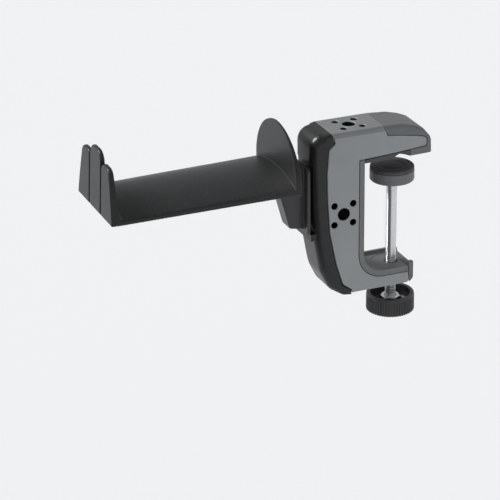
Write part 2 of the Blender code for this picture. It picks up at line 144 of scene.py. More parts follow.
def make_sun(name, towards, strength, width):
    light = bpy.data.lights.new(name, "SUN")
    light.energy = strength
    light.angle = math.radians(width)
    made = bpy.data.objects.new(name, light)
    made.rotation_euler = towards.to_track_quat("Z", "Y").to_euler()
    bpy.context.collection.objects.link(made)
    return made


def make_light():
    world = bpy.data.worlds.new("studio")
    bpy.context.scene.world = world
    world.use_nodes = True
    air = world.node_tree.nodes["Background"]
    air.inputs["Color"].default_value = (0.97, 0.985, 1.0, 1.0)
    air.inputs["Strength"].default_value = WORLD_STRENGTH
    make_sun("key", KEY_FROM, KEY_STRENGTH, KEY_WIDTH)
    glint = make_sun("edge_glint", KEY_FROM, GLINT_STRENGTH, GLINT_WIDTH)
    glint.visible_diffuse = False
    bpy.context.scene.view_settings.view_transform = "Standard"


make_floor()
make_card()
make_light()

# %% [markdown]
# ## Surface effects that several finishes share
#
# Moulded plastic has a fine grain from the mould's spark-eroded wall. Its edges carry a painted highlight,
# a lighter tone where the surface turns, and dust settles on what faces up. Each effect is a shader node
# group with named sockets, built once, so that every material can use it with its own values.

# %% Node helpers
def wire(tree, start, end):
    tree.links.new(start, end)


def add_node(tree, kind, **settings):
    node = tree.nodes.new(kind)
    for name, value in settings.items():
        setattr(node, name, value)
    return node


def math_node(tree, operation, *values):
    node = add_node(tree, "ShaderNodeMath", operation=operation)
    for socket, value in zip(node.inputs, values):
        if isinstance(value, (int, float)):
            socket.default_value = value
        else:
            wire(tree, value, socket)
    return node.outputs[0]


def new_group(name, inputs, outputs):
    tree = bpy.data.node_groups.new(name, "ShaderNodeTree")
    for label, value in inputs.items():
        socket = tree.interface.new_socket(name=label, in_out="INPUT", socket_type="NodeSocketFloat")
        socket.default_value = value
    for label in outputs:
        tree.interface.new_socket(name=label, in_out="OUTPUT", socket_type="NodeSocketFloat")
    return tree, add_node(tree, "NodeGroupInput").outputs, add_node(tree, "NodeGroupOutput").inputs


# %% Moulded grain
def make_grain_group():
    """Fine and coarse noise, added up as a height for a Bump node, and a slow drift for the gloss."""
    sizes = {"Scale": 2600.0, "Drift Scale": 60.0}
    tree, given, made = new_group("moulded_grain", sizes, ("Height", "Drift"))
    place = add_node(tree, "ShaderNodeTexCoord").outputs["Object"]
    heights = []
    for share, detail in ((1.0, 3.0), (0.35, 1.0)):
        noise = add_node(tree, "ShaderNodeTexNoise")
        wire(tree, place, noise.inputs["Vector"])
        wire(tree, math_node(tree, "MULTIPLY", given["Scale"], share), noise.inputs["Scale"])
        noise.inputs["Detail"].default_value = detail
        heights.append(noise.outputs["Fac"])
    wire(tree, math_node(tree, "ADD", heights[0], heights[1]), made["Height"])
    drift = add_node(tree, "ShaderNodeTexNoise")
    wire(tree, place, drift.inputs["Vector"])
    wire(tree, given["Drift Scale"], drift.inputs["Scale"])
    wire(tree, drift.outputs["Fac"], made["Drift"])
    return tree


# %% Painted edge highlight
def make_edge_highlight_group():
    """Painted highlight: white where the surface turns within the radius, as the Bevel node's normal leaves
    the true one.
    """
    tree, given, made = new_group("polished_edges", {"Radius": 0.0006, "Gain": 6.0}, ("Mask",))
    bevel = add_node(tree, "ShaderNodeBevel", samples=6)
    wire(tree, given["Radius"], bevel.inputs["Radius"])
    flat = add_node(tree, "ShaderNodeNewGeometry")
    dot = add_node(tree, "ShaderNodeVectorMath", operation="DOT_PRODUCT")
    wire(tree, bevel.outputs["Normal"], dot.inputs[0])
    wire(tree, flat.outputs["Normal"], dot.inputs[1])
    turned = math_node(tree, "SUBTRACT", 1.0, dot.outputs["Value"])
    gained = add_node(tree, "ShaderNodeMath", operation="MULTIPLY", use_clamp=True)
    wire(tree, turned, gained.inputs[0])
    wire(tree, given["Gain"], gained.inputs[1])
    wire(tree, gained.outputs[0], made["Mask"])
    return tree


# %% Settled dust
def make_dust_group():
    """Specks on what faces up."""
    tree, given, made = new_group("settled_dust", {"Scale": 900.0, "Amount": 0.5}, ("Mask",))
    place = add_node(tree, "ShaderNodeTexCoord").outputs["Object"]
    noise = add_node(tree, "ShaderNodeTexNoise")
    wire(tree, place, noise.inputs["Vector"])
    wire(tree, given["Scale"], noise.inputs["Scale"])
    noise.inputs["Detail"].default_value = 6.0
    specks = add_node(tree, "ShaderNodeMapRange", clamp=True)
    wire(tree, noise.outputs["Fac"], specks.inputs["Value"])
    specks.inputs["From Min"].default_value = 0.56
    specks.inputs["From Max"].default_value = 0.74
    split = add_node(tree, "ShaderNodeSeparateXYZ")
    wire(tree, add_node(tree, "ShaderNodeNewGeometry").outputs["Normal"], split.inputs[0])
    up = math_node(tree, "MAXIMUM", split.outputs["Z"], 0.0)
    shown = math_node(tree, "MULTIPLY", specks.outputs["Result"], up)
    wire(tree, math_node(tree, "MULTIPLY", shown, given["Amount"]), made["Mask"])
    return tree


GRAIN, EDGE_HIGHLIGHT, DUST = make_grain_group(), make_edge_highlight_group(), make_dust_group()
print("shader groups:", GRAIN.name, EDGE_HIGHLIGHT.name, DUST.name)

# %% [markdown]
# ## Finishes
#
# The clamp's core is a satin grey moulding, with a spark-textured top. The cover, hook, bracket and
# knob are near-black, and the caps and the liner are dark grey. The screw is bright zinc-plated
# steel. One function builds a plastic from its tones and its grain, and another builds a metal with
# turning marks, so the values stay together.

# %% Plastics
DUST_TONE = (0.45, 0.45, 0.44)
RELIEF = 0.0001


def group_node(tree, group, **sizes):
    node = add_node(tree, "ShaderNodeGroup", node_tree=group)
    for name, value in sizes.items():
        node.inputs[name.replace("_", " ")].default_value = value
    return node


def mix_colour(tree, factor, first, second):
    node = add_node(tree, "ShaderNodeMix", data_type="RGBA")
    wire(tree, factor, node.inputs["Factor"])
    for socket, value in ((node.inputs["A"], first), (node.inputs["B"], second)):
        if isinstance(value, tuple):
            socket.default_value = (*value, 1.0)
        else:
            wire(tree, value, socket)
    return node.outputs["Result"]


def scaled(tree, value, low, high):
    node = add_node(tree, "ShaderNodeMapRange")
    wire(tree, value, node.inputs["Value"])
    node.inputs["To Min"].default_value = low
    node.inputs["To Max"].default_value = high
    return node.outputs["Result"]


def plastic(name, dark, light, edge, gloss, grain, bump, specular=0.5, dust=0.05, highlight_radius=0.0005):
    """A moulded plastic. gloss is the lowest and highest roughness, grain is the noise's scale, and edge is
    the tone of the painted highlight where the surface turns.
    """
    made = bpy.data.materials.new(name)
    made.use_nodes = True
    tree = made.node_tree
    shader = tree.nodes["Principled BSDF"]
    texture = group_node(tree, GRAIN, Scale=grain)
    edges = group_node(tree, EDGE_HIGHLIGHT, Radius=highlight_radius)
    specks = group_node(tree, DUST, Amount=dust)
    colour = mix_colour(tree, texture.outputs["Drift"], dark, light)
    # Painted highlight: the edges are mixed towards the lighter edge tone.
    colour = mix_colour(tree, edges.outputs["Mask"], colour, edge)
    colour = mix_colour(tree, specks.outputs["Mask"], colour, DUST_TONE)
    wire(tree, colour, shader.inputs["Base Color"])
    wire(tree, scaled(tree, texture.outputs["Drift"], *gloss), shader.inputs["Roughness"])
    shader.inputs["Specular IOR Level"].default_value = specular
    relief = add_node(tree, "ShaderNodeBump")
    relief.inputs["Strength"].default_value = bump
    relief.inputs["Distance"].default_value = RELIEF
    wire(tree, texture.outputs["Height"], relief.inputs["Height"])
    wire(tree, relief.outputs["Normal"], shader.inputs["Normal"])
    return made


# The third tone of each plastic is the painted highlight on its edges.
satin_grey = plastic("satin_grey", (0.275, 0.288, 0.294), (0.315, 0.328, 0.334), (0.46, 0.47, 0.47),
                     (0.40, 0.48), 2400.0, 0.25)
textured_grey = plastic("textured_grey", (0.165, 0.175, 0.178), (0.240, 0.250, 0.253), (0.46, 0.47, 0.47),
                        (0.50, 0.62), 1500.0, 0.9)
soft_black = plastic("soft_black", (0.007, 0.0075, 0.0075), (0.011, 0.0115, 0.0115), (0.10, 0.10, 0.10),
                     (0.30, 0.38), 2600.0, 0.2, specular=0.40)
cap_black = plastic("cap_black", (0.125, 0.128, 0.132), (0.158, 0.161, 0.165), (0.26, 0.26, 0.26),
                    (0.44, 0.54), 2200.0, 0.35)
hook_black = plastic("hook_black", (0.013, 0.014, 0.014), (0.019, 0.020, 0.020), (0.16, 0.16, 0.16),
                     (0.36, 0.44), 2400.0, 0.25, specular=0.34)
pad_rubber = plastic("pad_rubber", (0.060, 0.060, 0.062), (0.078, 0.078, 0.080), (0.12, 0.12, 0.12),
                     (0.58, 0.70), 1800.0, 0.6)
liner_grey = plastic("liner_grey", (0.150, 0.152, 0.155), (0.185, 0.187, 0.190), (0.30, 0.30, 0.30),
                     (0.46, 0.58), 2000.0, 0.4)
bracket_black = plastic("bracket_black", (0.024, 0.025, 0.025), (0.032, 0.033, 0.033), (0.26, 0.26, 0.26),
                        (0.34, 0.42), 2400.0, 0.25)
knob_black = plastic("knob_black", (0.026, 0.027, 0.027), (0.036, 0.037, 0.037), (0.16, 0.16, 0.16),
                     (0.30, 0.40), 2200.0, 0.35)
print("materials so far:", [m.name for m in bpy.data.materials if m.use_nodes])


# %% Metals
def metal(name, dark, light, gloss, turned=900.0):
    """Plated metal with faint rings left by turning: noise squeezed along the axis of the screw."""
    made = bpy.data.materials.new(name)
    made.use_nodes = True
    tree = made.node_tree
    shader = tree.nodes["Principled BSDF"]
    place = add_node(tree, "ShaderNodeTexCoord").outputs["Object"]
    squeeze = add_node(tree, "ShaderNodeMapping")
    wire(tree, place, squeeze.inputs["Vector"])
    squeeze.inputs["Scale"].default_value = (0.12, 0.12, 2.4)
    rings = add_node(tree, "ShaderNodeTexNoise")
    wire(tree, squeeze.outputs["Vector"], rings.inputs["Vector"])
    rings.inputs["Scale"].default_value = turned
    rings.inputs["Detail"].default_value = 4.0
    wire(tree, mix_colour(tree, rings.outputs["Fac"], dark, light), shader.inputs["Base Color"])
    wire(tree, scaled(tree, rings.outputs["Fac"], *gloss), shader.inputs["Roughness"])
    shader.inputs["Metallic"].default_value = 1.0
    relief = add_node(tree, "ShaderNodeBump")
    relief.inputs["Strength"].default_value = 0.08
    relief.inputs["Distance"].default_value = RELIEF
    wire(tree, rings.outputs["Fac"], relief.inputs["Height"])
    wire(tree, relief.outputs["Normal"], shader.inputs["Normal"])
    return made


bright_zinc = metal("bright_zinc", (0.70, 0.71, 0.73), (0.84, 0.85, 0.87), (0.10, 0.22))
brass = metal("brass", (0.62, 0.44, 0.18), (0.80, 0.60, 0.28), (0.20, 0.34))
print("metals:", bright_zinc.name, brass.name)

# %% [markdown]
# ## Mesh helpers
#
# Nearly every moulding here is an outline drawn from the side and run across the clamp's width, with
# softened edges. A Bevel modifier could soften them, but it slips on Boolean results, so the helper
# draws the rounding itself, ring by ring. Sizes below are in millimetres.

# %% Mesh helpers
MM = 0.001


def mesh_object(name, points, faces):
    """A closed mesh from points in millimetres, with doubles merged and faces turned outwards."""
    mesh = bpy.data.meshes.new(name)
    mesh.from_pydata([Vector(p) * MM for p in points], [], faces)
    build = bmesh.new()
    build.from_mesh(mesh)
    bmesh.ops.remove_doubles(build, verts=build.verts, dist=1e-6)
    bmesh.ops.dissolve_degenerate(build, edges=build.edges, dist=1e-7)
    bmesh.ops.recalc_face_normals(build, faces=build.faces)
    build.to_mesh(mesh)
    build.free()
    made = bpy.data.objects.new(name, mesh)
    bpy.context.collection.objects.link(made)
    return made


def ring_faces(count, rings, closed=False):
    """Quads between rings of points. Open runs get an end face at each end."""
    faces = []
    for r in range(rings if closed else rings - 1):
        here, after = r * count, (r + 1) % rings * count
        for i in range(count):
            j = (i + 1) % count
            faces.append((here + i, here + j, after + j, after + i))
    if not closed:
        faces.append(tuple(range(count)))
        faces.append(tuple(range((rings - 1) * count, rings * count)))
    return faces


def full_corner(corner, edge):
    u, v, *rest = corner
    defaults = (0.0, edge, None)
    return (u, v, *rest, *defaults[len(rest):])


def rounded_outline(corners, edge=0.4, arc_steps=10):
    """Corners are (u, v, radius, edge, side). Returns (u, v, edge, side) with each radius as an arc."""
    outline = []
    count = len(corners)
    for i, corner in enumerate(corners):
        u, v, radius, rim, side = full_corner(corner, edge)
        here = Vector((u, v))
        if radius <= 0.0:
            outline.append((u, v, rim, side))
            continue
        before = (Vector(corners[i - 1][:2]) - here).normalized()
        after = (Vector(corners[(i + 1) % count][:2]) - here).normalized()
        half = before.angle(after) / 2
        reach = radius / math.tan(half)
        centre = here + (before + after).normalized() * (radius / math.sin(half))
        start = here + before * reach - centre
        turn = (here + after * reach - centre).angle_signed(start)
        for step in range(arc_steps + 1):
            point = centre + Matrix.Rotation(turn * step / arc_steps, 2) @ start
            outline.append((point.x, point.y, rim, None))
    return outline


def inward_miters(outline):
    """The direction at each outline point in which one unit of inset moves it."""
    count = len(outline)
    area = sum(
        outline[i][0] * outline[(i + 1) % count][1] - outline[(i + 1) % count][0] * outline[i][1]
        for i in range(count)
    )
    turn = 1.0 if area > 0 else -1.0
    miters = []
    for i in range(count):
        here = Vector(outline[i][:2])
        first = (here - Vector(outline[i - 1][:2])).normalized()
        second = (Vector(outline[(i + 1) % count][:2]) - here).normalized()
        first_normal = Vector((-first.y, first.x)) * turn
        second_normal = Vector((-second.y, second.x)) * turn
        shared = 1.0 + first_normal.dot(second_normal)
        miters.append((first_normal + second_normal) / max(0.4, shared))
    return miters


def rounded_slab(name, corners, low, high, edge=0.4, steps=4, arc_steps=10, along="Y", lean=(0.0, 0.0)):
    """An outline run from low to high along an axis, its edges rounded at both ends.

    Along Y the outline is (x, z). Along X it is (y, z), and lean tilts each end face with height."""
    outline = rounded_outline(corners, edge, arc_steps)
    miters = inward_miters(outline)
    points = []
    ends = [(high, 1.0, lean[1], step) for step in range(steps + 1)][::-1]
    ends += [(low, -1.0, lean[0], step) for step in range(steps + 1)]
    for end, sign, tilt, step in ends:
        turn = math.pi / 2 * step / steps
        for (u, v, rim, side), miter in zip(outline, miters):
            inset, depth = miter * rim, rim
            if side:
                inset, depth = Vector(side[:2]) - Vector((u, v)), side[2]
            share = 1.0 - math.cos(turn)
            place = end + tilt * v + sign * depth * (math.sin(turn) - 1.0)
            u, v = u + inset.x * share, v + inset.y * share
            points.append((u, place, v) if along == "Y" else (place, u, v))
    return mesh_object(name, points, ring_faces(len(outline), len(ends)))


def lathe(name, profile, centre=(0.0, 0.0, 0.0), sides=64, axis="Z"):
    """A closed profile of (radius, height), turned about an axis through centre."""
    points = []
    for side in range(sides):
        turn = 2 * math.pi * (side + 0.5) / sides
        for radius, height in profile:
            around = (radius * math.cos(turn), radius * math.sin(turn))
            local = {"Z": (*around, height), "Y": (around[0], height, around[1])}.get(axis)
            points.append(Vector(local or (height, *around)) + Vector(centre))
    return mesh_object(name, points, ring_faces(len(profile), sides, closed=True))


def block(name, low, high):
    corners = [(low[0], low[2]), (high[0], low[2]), (high[0], high[2]), (low[0], high[2])]
    points = [(x, y, z) for y in (low[1], high[1]) for x, z in corners]
    return mesh_object(name, points, ring_faces(4, 2))


# %% Joining, cutting and finishing
def apply_modifiers(piece):
    graph = bpy.context.evaluated_depsgraph_get()
    result = bpy.data.meshes.new_from_object(piece.evaluated_get(graph))
    piece.modifiers.clear()
    piece.data = result
    result.name = piece.name


def combine(piece, tools, operation):
    """Applies one Boolean for each tool, then removes the tool."""
    for tool in tools:
        step = piece.modifiers.new("combine", "BOOLEAN")
        step.operation = operation
        step.solver = "EXACT"
        step.object = tool
        apply_modifiers(piece)
        bpy.data.objects.remove(tool, do_unlink=True)


def cut(piece, *tools):
    combine(piece, tools, "DIFFERENCE")


def join(piece, *tools):
    combine(piece, tools, "UNION")


def finish_piece(piece, looks, body, nodes, angle=32.0, chosen=None):
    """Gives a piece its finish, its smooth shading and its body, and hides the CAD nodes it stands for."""
    piece.data.materials.clear()
    for look in looks:
        piece.data.materials.append(look)
    for face in piece.data.polygons:
        face.material_index = chosen(face) if chosen else 0
    piece.data.shade_smooth()
    piece.data.set_sharp_from_angle(angle=math.radians(angle))
    flat = piece.modifiers.new("large_faces_stay_flat", "WEIGHTED_NORMAL")
    flat.keep_sharp = True
    flat.weight = 100
    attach(piece, body)
    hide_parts(*nodes)
    piece.data.calc_loop_triangles()
    print(f"{piece.name}: {len(piece.data.loop_triangles)} triangles")


# %% [markdown]
# ## The clamp's core
#
# The core is the grey C that carries the load. Its side face is a flat plate between the dark covers,
# and its top face is a separate, coarser texture. Each hole pattern is four pilot holes round one
# larger hole, for accessories. The cutters are turned pieces, wider at the surface, so that every
# hole gets the small chamfer that a moulded hole has.

# %% Core
HALF_WIDTH = 11.25
TOP_Z = 19.3
BED_Z = -63.2
SEAM = [
    (-24.0, 13.8, 1.4), (-27.7, 10.6, 1.6), (-28.7, -3.0), (-28.4, -17.0), (-27.0, -37.0),
    (-23.2, -55.2), (-19.4, -67.6, 3.0), (-14.3, -71.2),
]
RIB = [
    (-20.0, 12.0), (-29.5, 12.5, 3.0), (-33.3, 8.0, 3.0), (-33.3, -20.0), (-31.8, -42.0),
    (-28.2, -57.0), (-23.5, -65.0), (-17.0, -67.5), (-16.0, -50.0), (-20.0, -20.0),
]
TONGUE = [(5.8, 13.6), (12.7, 12.7), (24.9, 10.6), (28.9, 9.4, 2.6), (28.6, 4.7, 1.0)]
SPINDLE_X = 14.0
PATTERN = [(first, second) for first in (-5.4, 5.4) for second in (-5.4, 5.4)]
TOP_HOLES_X = -11.7
SIDE_HOLES_X, SIDE_HOLES_Z = -19.2, -26.8
PILOT_RADIUS = 1.85
PILOT_DEPTH = 7.0
CENTRE_RADIUS = 3.5
BOLT_Z = -13.0


def hole_cutter(radius, low, high, centre, axis, chamfer=0.35):
    """A rod whose ends at the surface open out. high, and low where the hole runs through, lie outside."""
    wide = radius + chamfer + 1.0
    profile = [(0, low), (radius, low), (radius, high - 1.0 - chamfer), (wide, high), (0, high)]
    return lathe("hole", profile, centre, 32, axis)


def make_core():
    corners = [
        (-26.2, TOP_Z, 0.0, 0.3, (-24.0, 16.4, 0.8)), (3.4, TOP_Z, 0.0, 0.3, (4.5, 16.4, 0.8)), *TONGUE,
        (18.7, 3.9), (7.1, 3.1), (-10.4, 2.3), (-10.4, -66.7, 14.5), (19.2, -66.9), (19.8, -72.2),
        (18.6, -73.2), (-14.1, -73.2), *SEAM[::-1],
    ]
    core = rounded_slab("core", corners, -HALF_WIDTH, HALF_WIDTH, edge=0.45, arc_steps=14)
    join(core, rounded_slab("rib", RIB, -7.5, 7.5))
    for first, second in PATTERN:
        place = (TOP_HOLES_X + first, second, 0)
        cut(core, hole_cutter(PILOT_RADIUS, TOP_Z - PILOT_DEPTH, TOP_Z + 1, place, "Z"))
        for side in (-1, 1):
            tool = hole_cutter(PILOT_RADIUS, HALF_WIDTH - PILOT_DEPTH, HALF_WIDTH + 1, (0, 0, 0), "Y")
            tool.data.transform(Matrix.Scale(side, 4, (0, 1, 0)))
            place = Vector((SIDE_HOLES_X + first, 0, SIDE_HOLES_Z + second))
            tool.data.transform(Matrix.Translation(place * MM))
            if side < 0:
                tool.data.flip_normals()
            cut(core, tool)
    cut(core, hole_cutter(CENTRE_RADIUS, 7.3, TOP_Z + 1, (TOP_HOLES_X, 0, 0), "Z"))
    bore = [(4.85, -12.25), (CENTRE_RADIUS, -10.9), (CENTRE_RADIUS, 10.9), (4.85, 12.25)]
    through = [(0, -12.25), *bore, (0, 12.25)]
    cut(core, lathe("hole", through, (SIDE_HOLES_X, 0, SIDE_HOLES_Z), 40, "Y"))
    bolt_line, screw_line = (0, 0, BOLT_Z), (SPINDLE_X, 0, 0)
    plain_holes = (
        (2.75, -40.0, 0.0, bolt_line, 32, "X"), (5.3, -15.6, 0.0, bolt_line, 32, "X"),
        (6.2, -72.3, -60.0, screw_line, 6, "Z"), (3.45, -80.0, -60.0, screw_line, 40, "Z"),
    )
    for radius, low, high, centre, sides, axis in plain_holes:
        profile = [(0, low), (radius, low), (radius, high), (0, high)]
        cut(core, lathe("hole", profile, centre, sides, axis))
    return core


def in_hole(spot):
    """Whether a face centre lies inside one of the drilled patterns."""
    reach = 7.4 * MM
    across = max(abs(spot.x - SIDE_HOLES_X * MM), abs(spot.z - SIDE_HOLES_Z * MM))
    along = max(abs(spot.x - TOP_HOLES_X * MM), abs(spot.y))
    side = across < reach and abs(spot.y) < 10.4 * MM
    top = along < reach and 5.0 * MM < spot.z < 18.5 * MM
    return side or top


def core_look(face):
    """The top face is 1, the band that slopes down from it is 2 and hole walls are 3, both painted shade, the
    rest is 0.
    """
    if in_hole(face.center):
        return 3
    if face.center.z < 16.45 * MM or face.center.x > 5.0 * MM:
        return 0
    return 1 if face.normal.z > 0.9 or abs(face.center.y) < 10.4 * MM else 2


# Painted shade: the band that slopes from the top face to the side gets a darker grey than the side face.
band_grey = plastic("band_grey", (0.190, 0.198, 0.202), (0.225, 0.233, 0.237), (0.32, 0.33, 0.33),
                    (0.42, 0.52), 2000.0, 0.35)
core = make_core()
# Painted shade: the walls inside the holes are near-black, where little light reaches.
hole_wall = plastic("hole_wall", (0.004, 0.004, 0.004), (0.007, 0.007, 0.007), (0.02, 0.02, 0.02),
                    (0.55, 0.70), 2000.0, 0.3, specular=0.2)
core_finishes = (satin_grey, textured_grey, band_grey, hole_wall)
finish_piece(core, core_finishes, "clamp", ("clamp_core",), chosen=core_look)

# %% [markdown]
# ## Spine cover
#
# The cover is a soft dark shell over the back of the C. Its outer edges are rounded by more than
# 4 mm and its seam edge by 1 mm, which is what draws the two long highlights down its side.

# %% Spine cover
GAP = 0.3


def grown(corners, amount):
    """The same outline, moved outwards by amount."""
    outline = [(*corner[:2],) for corner in corners]
    return [
        (u - miter.x * amount, v - miter.y * amount, *corner[2:])
        for (u, v), miter, corner in zip(outline, inward_miters(outline), corners)
    ]


def make_spine_cover():
    back = [
        (-26.5, TOP_Z, 0.0, 0.3, (-24.3, 16.4, 0.8)), (-29.0, TOP_Z - 0.1, 0.0, 2.0),
        (-37.5, TOP_Z - 0.8, 7.5, 4.2), (-37.6, 3.0, 0.0, 4.4), (-36.6, -20.0, 0.0, 4.4),
        (-34.9, -42.0, 0.0, 4.4), (-31.6, -59.5, 18.0, 4.4), (-26.3, -70.0, 8.0, 3.6),
        (-18.6, -74.2, 5.0, 1.4), (-14.4, -74.2),
    ]
    seam = [(x - GAP - 0.1, z - 0.1, *(rest or [0.0]), 0.9) for x, z, *rest in SEAM[::-1]]
    cover = rounded_slab("spine_shell", back + seam, -HALF_WIDTH, HALF_WIDTH, steps=8)
    cut(cover, rounded_slab("rib_space", grown(RIB, GAP + 0.05), -7.8, 7.8))
    cut(cover, block("seat", (-60.0, -20.0, -36.2), (-36.2, 20.0, 3.3)))
    join(cover, block("ledge", (-37.7, -9.7, -39.9), (-34.6, 9.7, -36.2)))
    cut(cover, block("spigot_way", (-60.0, -5.2, -31.0), (-30.0, 5.2, -5.0)))
    return cover


spine_shell = make_spine_cover()
finish_piece(spine_shell, (soft_black,), "clamp", ("spine_cover",))

# %% [markdown]
# ## Caps, pad and liner
#
# The two jaws end in separate caps that wrap the core, the upper jaw carries a rubber pad, and one
# curved liner runs down the throat and out over the lower jaw, where a round dish clears the screw.

# %% Upper jaw cap
def make_upper_cap():
    inner = grown([(3.4, TOP_Z), *TONGUE, (18.7, 3.9), (3.4, 3.9)], GAP)[1:-2]
    corners = [
        (3.7, TOP_Z, 0.0, 0.3, (4.8, 16.4, 0.8)), (14.0, 18.7, 0.0, 1.6), (21.0, 17.0, 0.0, 1.8),
        (26.8, 14.6, 5.0, 1.8), (31.7, 8.5, 6.0, 1.4), (31.7, 0.1, 1.0, 1.0),
        (19.3, 0.1), (19.3, 3.6), *inner[::-1],
    ]
    return rounded_slab("jaw_cap_upper", corners, -HALF_WIDTH, HALF_WIDTH, edge=0.35, steps=6)


jaw_cap_upper = make_upper_cap()
finish_piece(jaw_cap_upper, (cap_black,), "clamp", ("upper_jaw_cap",))


# %% Upper jaw pad
def make_upper_pad():
    corners = [
        (-6.9, 0.0), (8.2, 0.0), (10.3, 1.15), (12.9, 2.3), (15.8, 1.5), (19.0, 0.1), (19.0, 3.6),
        (7.1, 2.8), (-6.9, 2.0),
    ]
    pad = rounded_slab("jaw_pad_upper", corners, -HALF_WIDTH, HALF_WIDTH, edge=0.3)
    for step in range(5):
        x = -5.0 + 2.8 * step
        cut(pad, block("groove", (x, -9.5, -1.0), (x + 0.7, 9.5, 0.35)))
    return pad


jaw_pad_upper = make_upper_pad()
finish_piece(jaw_pad_upper, (pad_rubber,), "clamp", ("upper_jaw_pad",))


# %% Throat liner
def make_liner():
    corners = [
        (-7.2, 2.0), (-7.2, BED_Z, 11.3), (19.1, BED_Z), (19.1, -66.6), (-10.1, -66.4, 14.2), (-10.1, 2.0),
    ]
    liner = rounded_slab("throat_lining", corners, -HALF_WIDTH, HALF_WIDTH, edge=0.35, arc_steps=16)
    join(liner, block("far_rim", (-1.0, 10.2, BED_Z - 2.0), (19.1, HALF_WIDTH, BED_Z + 2.1)))
    dish = [(0, BED_Z - 0.4), (11.9, BED_Z - 0.4), (12.5, BED_Z + 0.2), (12.5, -54.0), (0, -54.0)]
    cut(liner, lathe("dish", dish, (SPINDLE_X, -2.6, 0), 64))
    way = [(0, -80.0), (3.65, -80.0), (3.65, BED_Z - 0.8), (4.4, BED_Z), (4.4, -50.0), (0, -50.0)]
    cut(liner, lathe("screw_way", way, (SPINDLE_X, 0, 0), 48))
    return liner


throat_lining = make_liner()
finish_piece(throat_lining, (liner_grey,), "clamp", ("throat_liner",))


# %% Lower jaw cap
def make_lower_cap():
    corners = [
        (19.5, -61.1), (22.4, -61.1, 0.9, 0.8), (22.4, -71.4, 2.6, 0.8), (20.15, -72.94, 0.0, 0.1),
        (20.15, -72.4, 0.0, 0.1), (19.5, -66.9, 0.0, 0.1),
    ]
    cap = rounded_slab("jaw_cap_lower", corners, -HALF_WIDTH, HALF_WIDTH, edge=0.35, steps=5)
    cut(cap, block("scoop", (15.0, -9.3, -63.4), (30.0, 9.3, -58.0)))
    return cap


jaw_cap_lower = make_lower_cap()
finish_piece(jaw_cap_lower, (cap_black,), "clamp", ("lower_jaw_cap",))

# %% [markdown]
# ## The hook
#
# One dark moulding: a shallow arch that a headband lies over, a round guard disc at the clamp's end
# and three fingers at the tip, with slots between them for cables. The arch follows a rule, so it
# is lofted from sections. Each finger is an outline run along X, leaning back, and a fillet strip
# lies in the corner where the fingers rise out of the arch.

# %% Hook body
HOOK_HALF = 26.2
HOOK_BOTTOM = -4.9
DISC_RADIUS = 26.4
DISC_FRONT = -53.5
SLOT_Y = 8.6
BOSS_XS = (-61.0, -71.0)


def arch_height(x, y):
    """Top of the saddle: a parabola across, whose edges drop a little more towards the tip."""
    share = (x + 52.5) / (-150.0 + 52.5)
    return 3.4 - (4.6 + 1.6 * share) * (y / HOOK_HALF) ** 2


def arch_section(x, steps=40):
    wall = 3.0
    inner_half = HOOK_HALF - wall
    spread = [2.0 * step / steps - 1.0 for step in range(steps + 1)]
    edge = arch_height(x, HOOK_HALF)
    outer = [(s * (HOOK_HALF - 0.9), arch_height(x, s * (HOOK_HALF - 0.9))) for s in spread]
    inner = [(s * inner_half, arch_height(x, s * inner_half) - wall) for s in spread]
    right = [(HOOK_HALF - 0.25, edge - 0.15), (HOOK_HALF, edge - 0.8), (HOOK_HALF, HOOK_BOTTOM + 0.5),
             (HOOK_HALF - 0.15, HOOK_BOTTOM + 0.12), (HOOK_HALF - 0.5, HOOK_BOTTOM),
             (inner_half + 0.4, HOOK_BOTTOM), (inner_half, HOOK_BOTTOM + 0.4)]
    left = [(-y, z) for y, z in right[::-1]]
    return [(x, y, z) for y, z in outer + right + inner[::-1] + left]


def make_arch():
    stations = [DISC_FRONT + 1.0 - 6.5 * step for step in range(16)]
    points = [point for x in stations for point in arch_section(x)]
    return mesh_object("saddle_hook", points, ring_faces(len(points) // len(stations), len(stations)))


def make_disc():
    """The guard disc, bevelled on both rims. Its back leans, so it is thickest at the foot."""
    arc = [math.pi * (1.0 - step / 72) for step in range(73)]
    rim = [(DISC_RADIUS * math.cos(turn), 0.9 + DISC_RADIUS * math.sin(turn)) for turn in arc]
    outline = rim + [(HOOK_HALF, HOOK_BOTTOM), (-HOOK_HALF, HOOK_BOTTOM)]
    rings = (
        (0.5, 0.0, 0), (0.15, 0.15, 0), (0.0, 0.5, 0),
        (0.0, 0.35, 1), (0.1, 0.1, 1), (0.35, 0.0, 1),
    )
    points = []
    for inset, depth, side in rings:
        for y, z in outline:
            shrink = 1.0 - inset / DISC_RADIUS
            front = DISC_FRONT + depth
            back = -49.6 - 0.075 * (z - HOOK_BOTTOM) - depth
            low = 0.0 if z <= HOOK_BOTTOM else 0.9
            points.append((back if side else front, y * shrink, low + (z - low) * shrink if low else z))
    return mesh_object("disc", points, ring_faces(len(outline), len(rings)))


def make_finger(side):
    """side 0 is the middle finger; -1 and 1 are the outer ones, which lean in."""
    if side:
        inner = side * (SLOT_Y + 0.5)
        corners = [
            (inner, HOOK_BOTTOM), (side * 26.3, HOOK_BOTTOM, 0.8), (side * 24.6, 5.0),
            (side * 20.2, 23.6, 4.4), (inner, 23.6, 3.6),
        ]
    else:
        corners = [(-8.1, HOOK_BOTTOM), (8.1, HOOK_BOTTOM), (8.1, 28.6, 5.6), (-8.1, 28.6, 5.6)]
    if side < 0:
        corners = corners[::-1]
    return rounded_slab("finger", corners, -152.95, -148.7, edge=0.8, steps=5, along="X", lean=(0.05, -0.02))


